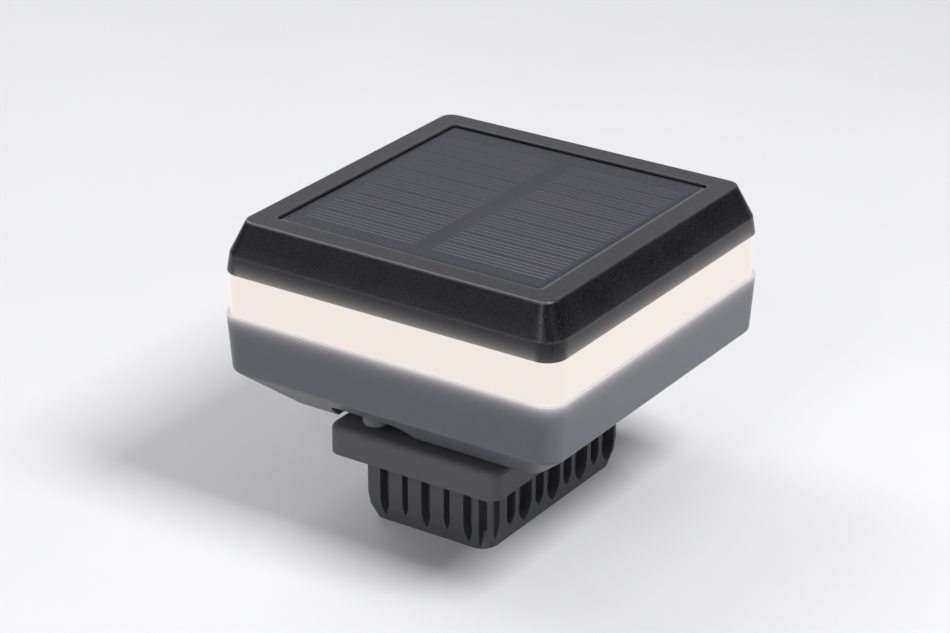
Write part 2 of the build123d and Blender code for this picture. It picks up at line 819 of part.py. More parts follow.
def battery_holder():
    side_height = z_cell_axis + holder_side_rise - z_holder
    end_height = holder_base + 2 * cell_radius
    body = block((holder_width, holder_length, side_height), battery_x, 0, z_holder)
    for side in (-1, 1):
        y = side * (holder_inner_length + holder_end) / 2
        body += block((holder_width, holder_end, end_height), battery_x, y, z_holder)
    inner_width = holder_width - 2 * holder_wall
    body -= block((inner_width, holder_inner_length, side_height), battery_x, 0, z_holder + holder_base)
    for x, y in holder_screw_places:
        body -= rod(m25_radius + slip, x, y, z_holder, holder_base)
        body -= rod(m25_head_radius + slip, x, y, z_holder_head, holder_head_recess)
    return body


def holder_screws():
    screw = Rot(180, 0, 0) * pan_screw(m25_radius, m25_head_radius, m25_head, holder_screw_length)
    return joined(Pos(x, y, z_holder_head) * screw for x, y in holder_screw_places)


def contact(side):
    """Plate inside an end wall of the holder, with a solder tab above the cell. side is -1 or +1."""
    y = side * (nub_end + contact_thickness / 2)
    z = z_cell_axis - contact_width / 2
    height = z_tab - z
    body = block((contact_width, contact_thickness, height), battery_x, y, z)
    return body + block((contact_tab_width, contact_thickness, height + contact_tab), battery_x, y, z)


def contact_plate():
    return contact(1)


def contact_spring():
    """Plate with a bent leaf that presses on the cell's flat end."""
    at_plate = -nub_end + leaf_thickness / 2
    at_cell = flat_end - leaf_thickness / 2
    path = Polyline(
        (at_plate, leaf_rise),
        (at_plate, leaf_rise * 0.8),
        (at_cell, leaf_rise * 0.2),
        (at_cell, -leaf_rise * 0.2),
        ((at_plate + at_cell) / 2, -leaf_rise * 0.6),
    )
    strip = make_face(offset(path, amount=leaf_thickness / 2))
    plane = Plane(origin=(battery_x, 0, z_cell_axis), x_dir=(0, 1, 0), z_dir=(1, 0, 0))
    return contact(-1) + extrude(plane * strip, leaf_width / 2, both=True)


# ---------------------------------------------------------------- leads
def wire(points):
    """Round wire along straight runs, joined by arcs as large as the runs allow."""
    runs = [Vector(*end) - Vector(*start) for start, end in zip(points, points[1:])]
    radii = []
    for before, after in zip(runs, runs[1:]):
        half_turn = radians(before.get_angle(after)) / 2
        radii.append(0.45 * min(before.length, after.length) / tan(half_turn))
    print("wire radii", [round(radius, 1) for radius in radii])
    path = FilletPolyline(*points, radius=radii)
    return sweep(Plane(origin=path @ 0, z_dir=path % 0) * Circle(wire_radius), path)


def arched(start, heading, plug):
    """Route that leaves a contact along heading, rises, and comes down on a plug."""
    knee = Vector(*start) + Vector(*heading) * lead_start
    above = Vector(*plug) + Vector(0, 0, lead_drop)
    crest = above + (knee - above) * lead_crest
    return [start, tuple(knee), (crest.X, crest.Y, above.Z + lead_crest_rise), tuple(above), plug]


def battery_leads():
    """One wire from each contact's tab."""
    x, y = socket_places[1]
    wires = []
    for side in (-1, 1):
        start = (battery_x, side * nub_end, z_tab + contact_tab / 2)
        wires.append(wire(arched(start, (0, -side, 0), (x + side * wire_pitch / 2, y, z_plug))))
    return joined(wires)


def led_leads():
    """Pair from the back of the LED strip, in through the carrier's slot."""
    x, y = socket_places[2]
    wires = []
    for shift in (-wire_pitch / 2, wire_pitch / 2):
        start = (x + shift, carrier_width / 2, z_band)
        wires.append(wire(arched(start, (0, -1, 0), (x + shift, y, z_plug))))
    return joined(wires)


def panel_leads():
    """Pair from the underside of the panel's board, down through the ceiling."""
    x, y = socket_places[0]
    start_x, start_y = board_x + panel_lead_at[0], board_y + panel_lead_at[1]
    wires = []
    for shift in (-wire_pitch / 2, wire_pitch / 2):
        route = [
            (start_x + shift, start_y, z_panel_board),
            (start_x + shift, start_y, z_panel_board - lead_start),
            (x + shift, y, z_plug + lead_drop),
            (x + shift, y, z_plug),
        ]
        wires.append(wire(route))
    return joined(wires)


# ---------------------------------------------------------------- output
PIECES = [
    post_plug, plug_screws, lower_housing, housing_screws,
    button_cap, button_o_ring, switch_plunger, switch_body,
    top_cover, panel_window, panel_board, panel_adhesive, panel_leads,
    diffuser_ring, upper_gasket, lower_gasket, led_carrier, led_strip, led_packages, led_leads,
    main_board, board_screws, controller_chip, boost_inductor, reservoir_capacitor, board_passives,
    lead_sockets, lead_plugs,
    battery_cell, battery_holder, holder_screws, contact_plate, contact_spring, battery_leads,
]

os.makedirs("parts", exist_ok=True)
for piece in PIECES:
    export_step(piece(), f"parts/{piece.__name__}.step")
export_step(cell_strips(-1), "parts/solar_cells_left.step")
export_step(cell_strips(1), "parts/solar_cells_right.step")
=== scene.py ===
# %% [markdown]
# # Solar cap light for a deck post
#
# The real lamp is a stack of mouldings: a ribbed plug that goes into a hollow post, a flange, a grey
# tray, an opal band lit from inside, and a near-black cover with a solar panel in its top. Every solid
# comes from the CAD model. This lesson gives each one a procedural finish, adds the printed fingers of
# the solar cells, and sets up a floor, lights and a camera.
#
# The CAD model is loaded first.

# %% Load the frame
import json
import math

import bpy
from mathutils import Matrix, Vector


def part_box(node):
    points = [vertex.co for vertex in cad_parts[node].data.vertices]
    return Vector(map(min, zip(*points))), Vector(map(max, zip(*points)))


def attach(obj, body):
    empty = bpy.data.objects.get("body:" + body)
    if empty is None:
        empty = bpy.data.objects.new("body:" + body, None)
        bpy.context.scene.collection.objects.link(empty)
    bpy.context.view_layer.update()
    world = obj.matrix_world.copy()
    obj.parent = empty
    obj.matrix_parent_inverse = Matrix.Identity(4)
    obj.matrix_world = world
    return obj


MM = 0.001

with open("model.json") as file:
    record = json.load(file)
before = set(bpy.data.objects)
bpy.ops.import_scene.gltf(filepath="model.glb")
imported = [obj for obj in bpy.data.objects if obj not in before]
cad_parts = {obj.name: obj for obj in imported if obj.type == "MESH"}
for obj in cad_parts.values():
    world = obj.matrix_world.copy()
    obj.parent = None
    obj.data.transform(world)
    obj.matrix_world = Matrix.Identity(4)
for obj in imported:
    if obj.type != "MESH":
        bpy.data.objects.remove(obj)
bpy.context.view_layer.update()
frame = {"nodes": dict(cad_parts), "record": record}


# %% [markdown]
# ## Camera
#
# The lamp is seen from above one of its corners, with a long lens, so that its edges hardly converge. A
# camera could be turned by hand in the viewport. Here its place comes from an azimuth, an elevation and
# a distance, which can be read again later, and it is then turned towards a point on the lamp.

# %% Place the camera
def direction(azimuth, elevation):
    """Unit vector from the lamp outwards. Azimuth 0 is in front (-Y) and 90 is to the right (+X)."""
    a, e = math.radians(azimuth), math.radians(elevation)
    return Vector((math.sin(a) * math.cos(e), -math.cos(a) * math.cos(e), math.sin(e)))


def aim(thing, target):
    """Turns a camera or a light so that it looks at a point."""
    thing.rotation_mode = "QUATERNION"
    thing.rotation_quaternion = (Vector(target) - thing.location).to_track_quat("-Z", "Y")


camera_azimuth, camera_elevation, camera_distance = 33.58, 23.30, 0.6955
orbit_height = 0.061    # of the point that the distance is measured from, in metres
aim_height = 0.0444     # of the point that the camera looks at
aim_to_left = 0.004536  # the same point's distance from the lamp's axis
focal_length = 115.1

camera = bpy.data.objects.new("camera", bpy.data.cameras.new("camera"))
bpy.context.scene.collection.objects.link(camera)
camera.data.lens = focal_length
towards_camera = direction(camera_azimuth, camera_elevation)
camera.location = Vector((0, 0, orbit_height)) + camera_distance * towards_camera
left_of_axis = -aim_to_left * direction(camera_azimuth + 90, 0)
aim(camera, Vector((0, 0, aim_height)) + left_of_axis)
bpy.context.scene.camera = camera
bpy.context.scene.view_settings.view_transform = "Standard"
print("camera at", [round(value, 3) for value in camera.location])


# %% [markdown]
# ## Node trees from Python
#
# Finishes are made of nodes, and a long list of links is hard to read. One small class wraps a socket and
# overloads the arithmetic operators, so that `1 - mask` adds a Math node. A second class adds any other
# node: its settings come first, because some of them change which sockets it has, and then its sockets.

# %% A socket that can be calculated with
class Value:
    """Output socket of a node. Arithmetic on it adds Math nodes to the same tree."""

    def __init__(self, nodes, socket):
        self.nodes, self.socket = nodes, socket

    def __add__(self, other):
        return self.nodes.math("ADD", self, other)

    __radd__ = __add__

    def __mul__(self, other):
        return self.nodes.math("MULTIPLY", self, other)

    __rmul__ = __mul__

    def __sub__(self, other):
        return self.nodes.math("SUBTRACT", self, other)

    def __rsub__(self, other):
        return self.nodes.math("SUBTRACT", other, self)

    def __truediv__(self, other):
        return self.nodes.math("DIVIDE", self, other)

    def __rtruediv__(self, other):
        return self.nodes.math("DIVIDE", other, self)

    def __gt__(self, other):
        return self.nodes.math("GREATER_THAN", self, other)

    def __lt__(self, other):
        return self.nodes.math("LESS_THAN", self, other)

    def __abs__(self):
        return self.nodes.math("ABSOLUTE", self)

    def clamped(self):
        """Kept between 0 and 1."""
        return self.nodes.add("ShaderNodeClamp", {}, {"Value": self})

    def contrasted(self, start, gain):
        """0 up to a start, and from there it rises with a gain to 1."""
        return ((self - start) * gain).clamped()


def around(middle, spread, pattern):
    """Number that a pattern between 0 and 1 moves up and down by half of a spread."""
    return middle + spread * (pattern - 0.5)


# %% A node tree that is built by calls
def find_socket(sockets, key):
    """A socket by its number, identifier or name."""
    if isinstance(key, int):
        return sockets[key]
    return next(socket for socket in sockets if key in (socket.identifier, socket.name))


class Nodes:
    """Adds nodes to one tree."""

    def __init__(self, tree):
        self.tree = tree

    def add(self, kind, settings, sockets, output=0):
        """Adds a node. Settings come first. A socket takes a number, a tuple, a Value or several Values."""
        node = self.tree.nodes.new(kind)
        for name, value in settings.items():
            setattr(node, name, value)
        for key, value in sockets.items():
            self.fill(find_socket(node.inputs, key), value)
        return Value(self, find_socket(node.outputs, output))

    def fill(self, socket, value):
        if isinstance(value, list):
            for each in value:
                self.fill(socket, each)
        elif isinstance(value, Value):
            self.tree.links.new(value.socket, socket)
        elif socket.type == "RGBA":
            socket.default_value = (*value, 1)
        else:
            socket.default_value = value

    def math(self, operation, *terms):
        return self.add("ShaderNodeMath", {"operation": operation}, dict(enumerate(terms)))

    def mix(self, factor, first, second):
        """Mixes two colours: a factor of 0 gives the first, 1 the second."""
        sockets = {"Factor_Float": factor, "A_Color": first, "B_Color": second}
        return self.add("ShaderNodeMix", {"data_type": "RGBA"}, sockets, "Result_Color")


# %% [markdown]
# ## Patterns on a moulding
#
# A moulded surface copies its mould. Spark erosion leaves a fine grain, and polish leaves a broad
# unevenness in the gloss. Pale lines along some edges are painted highlights. Grain and
# unevenness are three-dimensional noise, and an edge is found by its distance. Both are read at the
# Object coordinates, which are metres here, so a pattern keeps its real size on every piece and runs on
# round corners without a seam. Image textures could do the same, but they need a UV map.

# %% A finish with its patterns
class Finish(Nodes):
    """One material with a Principled shader, and the patterns that its sockets are fed with."""

    made = []
    seed_step = 7.3  # far enough for two patterns of one finish to look different

    def __init__(self, name, **constants):
        self.material = bpy.data.materials.new(name)
        self.material.use_nodes = True
        super().__init__(self.material.node_tree)
        self.tree.nodes.clear()
        self.place = self.add("ShaderNodeTexCoord", {}, {}, "Object")
        numbers = {socket.replace("_", " "): value for socket, value in constants.items()}
        shaded = self.add("ShaderNodeBsdfPrincipled", {}, numbers)
        self.shader = shaded.socket.node
        self.add_output(shaded)
        self.seed = len(Finish.made)
        Finish.made.append(self)

    def add_output(self, shaded):
        output = self.tree.nodes.new("ShaderNodeOutputMaterial")
        self.fill(output.inputs["Surface"], shaded)

    def feed(self, socket, value):
        """Links a Value to a socket of the shader."""
        self.tree.links.new(value.socket, self.shader.inputs[socket])

    def axis(self, name):
        """Object coordinate along an axis, in millimetres."""
        separate = self.add("ShaderNodeSeparateXYZ", {}, {"Vector": self.place}, "XYZ".index(name))
        return separate / MM

    def noise(self, size, detail=2.0, stretch=(1, 1, 1)):
        """Noise between about 0 and 1, with features of a size in millimetres."""
        where = self.place
        if stretch != (1, 1, 1):
            where = self.add("ShaderNodeMapping", {}, {"Vector": where, "Scale": stretch})
        self.seed += Finish.seed_step
        values = {"Vector": where, "W": self.seed, "Scale": 1 / (size * MM), "Detail": detail}
        return self.add("ShaderNodeTexNoise", {"noise_dimensions": "4D"}, values)

    def beyond(self, half, corner):
        """Distance in millimetres outwards from a round-cornered square that is seen from above."""
        x, y = (self.math("MAXIMUM", abs(self.axis(name)) - (half - corner), 0) for name in "XY")
        return self.math("SQRT", x * x + y * y) - corner

    def near(self, distance, reach):
        """1 where a distance is 0, and it fades to 0 on both sides over a reach."""
        return self.math("EXPONENT", -1 * (distance / reach) * (distance / reach))

    def relief(self, height, depth, under=None):
        """Bump from a height between 0 and 1, with a depth in millimetres."""
        values = {"Height": height, "Distance": depth * MM, "Strength": 1.0}
        if under is not None:
            values["Normal"] = under
        return self.add("ShaderNodeBump", {}, values)

    def skin(self, roughness, spread, patch, ripple, depth, detail=2.0):
        """Gloss that is uneven in patches, over ripples. Both sizes and the depth are in millimetres."""
        self.feed("Roughness", around(roughness, spread, self.noise(patch)))
        self.feed("Normal", self.relief(self.noise(ripple, detail=detail), depth))


# %% [markdown]
# ## Light that leaks from the band
#
# Next to the lit band, the two mouldings look brighter: light scatters through the thin edge of the opal
# ring and grazes the grain of the plastic beside it. Tracing that needs very many light paths, so the
# mouldings get a soft emission that fades with the distance from the band. It depends on the height of
# the point, so it runs evenly along all four sides, and the cover keeps less of it on its round corners.

# %% Glow beside the band
rim_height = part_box("lower_housing")[1].z / MM  # lower end of the band
edge_height = 61.0                              # upper end of the band
outer_walls = 43.3                              # only plastic further out than this glows
corner_start, corner_blend = 39.5, 1.5          # where the straight sides end
glow_colour = (1.0, 0.95, 0.925)
print("band from", round(rim_height, 1), "to", edge_height, "mm")


def glow(finish, strength, reach, corners=1.0):
    """Emission that fades above and below the lit band. Corners is the share left on round corners."""
    height = finish.axis("Z")
    distance = finish.math("MAXIMUM", rim_height - height, height - edge_height)
    fade = finish.math("EXPONENT", distance * (-1 / reach))
    x, y = abs(finish.axis("X")), abs(finish.axis("Y"))
    outside = finish.math("MAXIMUM", x, y) > outer_walls
    round_corner = ((finish.math("MINIMUM", x, y) - corner_start) / corner_blend).clamped()
    mask = fade * outside * strength * (1 - (1 - corners) * round_corner)
    finish.feed("Emission Color", finish.mix(mask, (0, 0, 0), glow_colour))
    finish.shader.inputs["Emission Strength"].default_value = 1.0


# %% [markdown]
# ## Mouldings
#
# The cover is near-black and has a fine spark-eroded grain, which breaks up its highlights. The tray and
# the plug are dark grey and smoother. They differ only in numbers, so one function makes them all: a
# base colour with slight clouds in it, grain as relief and as a change in gloss, and salt, which is how
# much paler the grain's tips are than its pits.

# %% One function for every moulding
cloud_size, wave_size, wave_depth = 14.0, 9.0, 0.02       # in millimetres
cloud_share = 0.65                                        # the grain has the rest of the pattern
tone_start, tone_contrast = 0.3, 2.5
least_cloud = 0.004                                       # what clouds add to even a black plastic
uneven_polish = 0.12                                      # range of roughness between clouds


def moulding(name, colour, roughness, grain=0.35, grain_depth=0.012, clouds=0.1, salt=0.0, gloss=0.1,
             shine=0.5):
    """Moulded plastic. Grain is in millimetres, and clouds is how far the colour varies."""
    finish = Finish(name, Specular_IOR_Level=shine)
    fine = finish.noise(grain, detail=3.0)
    broad = finish.noise(cloud_size, detail=3.0)
    dark = tuple(channel * (1 - clouds) for channel in colour)
    pale = tuple(channel * (1 + clouds) + least_cloud for channel in colour)
    mottle = cloud_share * broad + (1 - cloud_share) * fine
    tone = (mottle - tone_start) * tone_contrast + salt * (fine - 0.5)
    finish.feed("Base Color", finish.mix(tone.clamped(), dark, pale))
    finish.feed("Roughness", around(around(roughness, uneven_polish, broad), gloss, fine))
    waves = finish.relief(finish.noise(wave_size, detail=1.0), wave_depth)
    finish.feed("Normal", finish.relief(fine, grain_depth, waves))
    return finish


# %% [markdown]
# ## Painted highlights on the edges
#
# The edges of a dark moulding catch thin highlights, and these are painted as paler lines. On the cover
# these are the crown, most of all at the front, the edge of the panel's recess, and the shoulder at the
# foot of the slope. The Pointiness of the Geometry node would find edges by itself, but it depends on how
# fine the mesh is. The distance from a round-cornered square gives a thin, even line on any mesh.

# %% Painted highlights along the cover's edges
crown_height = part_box("top_cover")[1].z / MM
top_depth = 0.55                          # crown and recess edge lie this close to the top
crown_line, recess_line = 41.0, 35.65     # half widths of their squares
crown_corner, recess_corner = 3.0, 1.0    # and the radii of their corners
shoulder_line = 65.5                      # a height, because the shoulder runs level all round
crown_reach, recess_reach, shoulder_reach = 0.22, 0.25, 0.25
front_edge = 39.55                        # the crown's painted highlight is strongest in front of this
recess_highlight, shoulder_highlight = 0.5, 0.35    # painted highlight strengths, beside 1.5 for the crown at the front, and 0.5 elsewhere


def paint_edge_highlights(finish, colour):
    """Painted highlights: paler plastic along the edges that catch the light: crown, panel's recess and
    shoulder.
    """
    height = finish.axis("Z")
    on_top = height > crown_height - top_depth
    crown = finish.near(finish.beyond(crown_line, crown_corner), crown_reach) * on_top
    recess = finish.near(finish.beyond(recess_line, recess_corner), recess_reach) * on_top
    shoulder = finish.near(height - shoulder_line, shoulder_reach)
    # Painted highlight, three times as strong along the front of the crown as elsewhere.
    brighter_in_front = (finish.axis("Y") < -front_edge) + 0.5
    on_edges = finish.math("MAXIMUM", crown * brighter_in_front, recess * recess_highlight)
    highlit = finish.math("MAXIMUM", on_edges, shoulder * shoulder_highlight)
    # The painted highlight is patchy, but about two thirds of it stay everywhere.
    patches = finish.noise(4.0, detail=3.0)
    amount = highlit * (0.6 + 0.8 * (patches - 0.2)).clamped()
    before = Value(finish, finish.shader.inputs["Base Color"].links[0].from_socket)
    finish.feed("Base Color", finish.mix(amount, before, colour))


# %% Cover, tray, plug and button
cover = moulding("cover", (0.0047, 0.0043, 0.0076), 0.32, grain=0.5, grain_depth=0.06, clouds=0.6, salt=4.0,
                 gloss=0.04, shine=0.3)
# Painted highlights on the cover's edges, in a paler grey.
paint_edge_highlights(cover, (0.105, 0.105, 0.118))
glow(cover, 0.25, 1.5, corners=0.3)
housing = moulding("housing", (0.136, 0.137, 0.168), 0.33, grain=0.9, grain_depth=0.004, clouds=0.03,
                   gloss=0.02)
glow(housing, 0.48, 1.05)
plug = moulding("plug", (0.108, 0.109, 0.123), 0.5, grain=0.3, grain_depth=0.01, clouds=0.07)
button = moulding("button", (0.12, 0.122, 0.138), 0.45, grain=0.25, grain_depth=0.006)
print("mouldings:", [finish.material.name for finish in Finish.made])


# %% [markdown]
# ## Opal band
#
# The band is opal polycarbonate with LEDs behind it. It scatters the light so well that no single LED
# shows. Volume scattering would be slow and noisy, and the eye sees only the even outer face, so the
# band is a dim plastic with an emission of its own. The emission is a little whiter at the two edges,
# where the wall is seen through less plastic, and has a trace of cloud.

# %% Band
white_start, whiteness = 0.8, 0.6  # share of the way to an edge, and how white the edge gets


def opal():
    finish = Finish("diffuser", Roughness=0.42, Specular_IOR_Level=0.15, Emission_Strength=1.0)
    height = finish.axis("Z")
    middle = (rim_height + edge_height) / 2
    half = (edge_height - rim_height) / 2
    near_edge = (abs(height - middle) / half).contrasted(white_start, 1 / (1 - white_start))
    cloud = finish.noise(11.0, detail=2.0)
    core = finish.mix(cloud, (0.842, 0.775, 0.722), (0.856, 0.788, 0.733))
    finish.feed("Emission Color", finish.mix(near_edge * whiteness, core, (0.872, 0.83, 0.80)))
    finish.feed("Base Color", finish.mix(cloud, (0.018, 0.017, 0.016), (0.024, 0.023, 0.022)))
    finish.feed("Normal", finish.relief(finish.noise(6.0, detail=1.0), 0.01))
    return finish


diffuser = opal()
print("band is", round(edge_height - rim_height, 1), "mm high")


# %% [markdown]
# ## Solar panel
#
# Two columns of silicon strips lie on a dark board under a clear laminate. The strips are cut from one
# printed wafer, so their pale fingers have one pitch, and the saw takes no notice of them: some strips
# carry three fingers and some four, with a wider dark gap at each cut. The laminate is a little dull, and
# that veil makes the lines faint: it is a dark skin with a gloss, half transparent. Glass and refraction
# would be truer, but slow and noisy. Its cut edge lets nothing through, and carries a painted highlight.

# %% Colours of the layers
def silicon_colour(finish):
    """Blue-black with broad drifts of colour, as an anti-reflection layer has."""
    drift = finish.noise(26.0, detail=1.0)
    other = finish.noise(18.0, detail=1.0)
    violet = finish.mix(drift.contrasted(0.35, 3), (0.014, 0.014, 0.022), (0.022, 0.021, 0.040))
    return finish.mix(other.contrasted(0.5, 4) * 0.6, violet, (0.014, 0.030, 0.038))


def board_colour(finish):
    return finish.mix(finish.noise(14.0), (0.041, 0.041, 0.048), (0.053, 0.053, 0.061))


# %% Window, cells and board
window_top, window_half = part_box("panel_window")[1].z / MM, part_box("panel_window")[1].x / MM
skin_depth = 0.48                      # its lower faces lie further than this below its top
cell_depth = 0.65                      # and those that touch the board further than this
cut_edge, window_corner = 0.6, 0.8     # width of the opaque cut edge with its painted highlight, and the corner inside it
highlight_spread = 50.0                     # width over which the painted highlight on the cut edge gets paler to the right
clearness, haziness = 0.5, 0.08        # share of light that passes, and how far it varies


def laminate():
    """Clear skin. Its lower faces touch the cells and the board, and so they take their colours."""
    finish = Finish("window", Specular_IOR_Level=0.42, IOR=1.5)
    height = finish.axis("Z")
    haze = finish.noise(17.0, detail=2.0)
    upper = height > window_top - skin_depth
    clear = around(clearness, haziness, haze)
    highlit_edge = (finish.beyond(window_half - cut_edge, window_corner) > 0) * upper
    finish.feed("Alpha", 1 - upper * clear * (1 - highlit_edge))
    hue = finish.noise(11.0, detail=1.0).contrasted(0.35, 3)
    tint = finish.mix(hue, (0.061, 0.057, 0.078), (0.053, 0.060, 0.073))
    # Painted highlight on the cut edge, paler towards the right.
    rightward = (finish.axis("X") / highlight_spread + 0.5).clamped()
    edge_highlight = finish.mix(rightward, (0.036, 0.036, 0.044), (0.066, 0.066, 0.073))
    tint = finish.mix(highlit_edge, tint, edge_highlight)
    below = finish.mix(height < window_top - cell_depth, silicon_colour(finish), board_colour(finish))
    finish.feed("Base Color", finish.mix(upper, below, tint))
    finish.skin(0.34, 0.06, patch=6.0, ripple=8.0, depth=0.02, detail=1.0)
    return finish


def silicon():
    finish = Finish("cells", Specular_IOR_Level=0.5)
    finish.feed("Base Color", silicon_colour(finish))
    finish.skin(0.34, 0.1, patch=1.5, ripple=0.5, depth=0.004)
    return finish


def backing():
    finish = Finish("panel_board", Specular_IOR_Level=0.5)
    finish.feed("Base Color", board_colour(finish))
    finish.skin(0.4, 0.1, patch=3.0, ripple=0.5, depth=0.004)
    return finish


window, cells, panel_board = laminate(), silicon(), backing()
print("window's top at", round(window_top, 1), "mm")


# %% [markdown]
# ## Parts inside
#
# The inner parts are hidden while the lamp is closed, but each has the finish of its real material, for
# anyone who takes the model apart: white reflecting plastic, green solder mask, rubber, nickel plate,
# stainless screws, nylon connectors and the plain sleeve of the battery.

# %% Metals
drawn_out = 0.08                     # scale of the scratches along their axis, beside 1 across it
scratched = 0.2                      # range of roughness between scratches
stain_start, stain_share = 0.3, 0.8  # where in the pattern stains begin, and how strong they get
stained = 0.72                       # brightness of a stain


def metal(name, colour, roughness, along):
    """Plated or brushed metal with fine scratches, drawn out along one axis."""
    finish = Finish(name, Metallic=1.0)
    stretch = tuple(drawn_out if axis == along else 1.0 for axis in "XYZ")
    scratch = finish.noise(0.25, detail=3.0, stretch=stretch)
    stain = finish.noise(3.0, detail=3.0)
    dull = tuple(channel * stained for channel in colour)
    finish.feed("Base Color", finish.mix((stain - stain_start).clamped() * stain_share, colour, dull))
    finish.feed("Roughness", around(roughness, scratched, scratch))
    finish.feed("Normal", finish.relief(scratch, 0.004))
    return finish


screw = metal("screw", (0.60, 0.60, 0.61), 0.32, "Z")
contact = metal("contact", (0.70, 0.68, 0.62), 0.28, "X")


# %% Plastics, rubber and printed circuits
track_pitch, track_height = 2.4, 0.03


def circuit(name, colour, mask_gloss):
    """Solder mask over copper: the tracks show as slightly raised, paler lines."""
    finish = Finish(name, Specular_IOR_Level=0.5, Roughness=mask_gloss)
    values = {"Vector": finish.place, "Scale": 1 / (track_pitch * MM), "Randomness": 0.35}
    settings = {"distance": "MANHATTAN", "feature": "F1"}
    cell = finish.add("ShaderNodeTexVoronoi", settings, values)
    track = cell.contrasted(0.35, 8) * (finish.noise(7.0) > 0.5)
    paler = tuple(channel * 1.5 + 0.01 for channel in colour)
    finish.feed("Base Color", finish.mix(track, colour, paler))
    finish.feed("Normal", finish.relief(track, track_height))
    return finish


inside = {
    "tape": moulding("tape", (0.70, 0.70, 0.68), 0.75, grain=0.6, grain_depth=0.05),
    "wire": moulding("wire", (0.55, 0.05, 0.04), 0.38, grain=0.8, grain_depth=0.004),
    "seal": moulding("seal", (0.03, 0.03, 0.03), 0.7, grain=0.5, grain_depth=0.02),
    "white_plastic": moulding("white_plastic", (0.84, 0.84, 0.82), 0.5, grain=0.4, clouds=0.03),
    "led_strip": circuit("led_strip", (0.84, 0.84, 0.82), 0.4),
    "led": moulding("led", (0.92, 0.78, 0.34), 0.3, grain=0.2, grain_depth=0.004),
    "board": circuit("board", (0.03, 0.17, 0.08), 0.34),
    "screw": screw,
    "chip": moulding("chip", (0.028, 0.028, 0.03), 0.55, grain=0.15, grain_depth=0.006),
    "ferrite": moulding("ferrite", (0.10, 0.095, 0.095), 0.7, grain=0.3, grain_depth=0.03),
    "capacitor": moulding("capacitor", (0.035, 0.035, 0.045), 0.3, grain=1.2, grain_depth=0.004),
    "passive": moulding("passive", (0.34, 0.27, 0.19), 0.5, grain=0.2),
    "socket": moulding("socket", (0.84, 0.82, 0.74), 0.45, grain=0.5, clouds=0.03),
    "plunger": moulding("plunger", (0.05, 0.05, 0.052), 0.42, grain=0.25),
    "battery": moulding("battery", (0.11, 0.31, 0.17), 0.26, grain=1.5, grain_depth=0.004),
    "holder": moulding("holder", (0.045, 0.045, 0.047), 0.5, grain=0.3, grain_depth=0.015),
    "contact": contact,
}
print(len(Finish.made), "finishes")


# %% [markdown]
# ## Dress the CAD nodes
#
# The record of the part says which material slot each node belongs to. The finishes above are named
# after those slots, so a loop can hand them out. Doing it by hand, node by node, would invite mistakes
# when a node is added.

# %% Hand out the finishes
outside = {
    "cover": cover, "housing": housing, "plug": plug, "button": button, "diffuser": diffuser,
    "window": window, "cells": cells, "panel_board": panel_board,
}
finishes = {**inside, **outside}


def dress(piece, finish):
    """Gives a piece one finish in its only material slot."""
    piece.data.materials.clear()
    piece.data.materials.append(finish.material)


for subpart in frame["record"]["subparts"]:
    dress(frame["nodes"][subpart["node"]], finishes[subpart["material_slot"]])


# %% [markdown]
# ## Printed fingers
#
# The fingers are thin silver bars, and their places follow a rule, which is what Geometry Nodes are for.
# The tree numbers the fingers on the uncut wafer. Dividing a finger's place by the width of a cut strip
# gives the strip that it ends up on, and each strip is then moved to its own place on the board. A bar is
# set on every point, once for each column.

# %% A tree that prints fingers on both columns
FINGER_INPUTS = [
    ("Fingers", "NodeSocketInt"), ("Finger pitch", "NodeSocketFloat"), ("First finger", "NodeSocketFloat"),
    ("Finger size", "NodeSocketVector"), ("Strip width", "NodeSocketFloat"),
    ("Strip pitch", "NodeSocketFloat"), ("First strip", "NodeSocketFloat"),
    ("Column middle", "NodeSocketFloat"), ("Height", "NodeSocketFloat"), ("Material", "NodeSocketMaterial"),
]


def finger_tree():
    tree = bpy.data.node_groups.new("cell_fingers", "GeometryNodeTree")
    for name, kind in FINGER_INPUTS:
        tree.interface.new_socket(name, in_out="INPUT", socket_type=kind)
    tree.interface.new_socket("Geometry", in_out="OUTPUT", socket_type="NodeSocketGeometry")
    nodes = Nodes(tree)

    def given(name):
        return nodes.add("NodeGroupInput", {}, {}, name)

    def vector(x, y, z):
        return nodes.add("ShaderNodeCombineXYZ", {}, {"X": x, "Y": y, "Z": z})

    number = nodes.add("GeometryNodeInputIndex", {}, {})
    on_wafer = given("First finger") + number * given("Finger pitch")
    strip = nodes.math("FLOOR", on_wafer / given("Strip width"))
    spread = strip * (given("Strip pitch") - given("Strip width"))
    along = given("First strip") + on_wafer + spread

    points = nodes.add("GeometryNodeMeshLine", {"mode": "OFFSET"}, {"Count": given("Fingers")})
    rows = nodes.add("GeometryNodeSetPosition", {}, {"Geometry": points, "Position": vector(0, along, 0)})
    bar = nodes.add("GeometryNodeMeshCube", {}, {"Size": given("Finger size")})
    bars = nodes.add("GeometryNodeInstanceOnPoints", {}, {"Points": rows, "Instance": bar})
    columns = []
    for side in (-1, 1):
        move = vector(given("Column middle") * side, 0, given("Height"))
        columns.append(nodes.add("GeometryNodeTransform", {}, {"Geometry": bars, "Translation": move}))
    both = nodes.add("GeometryNodeJoinGeometry", {}, {"Geometry": columns})
    real = nodes.add("GeometryNodeRealizeInstances", {}, {"Geometry": both})
    silver = nodes.add("GeometryNodeSetMaterial", {}, {"Geometry": real, "Material": given("Material")})
    output = tree.nodes.new("NodeGroupOutput")
    nodes.fill(output.inputs["Geometry"], silver)
    return tree


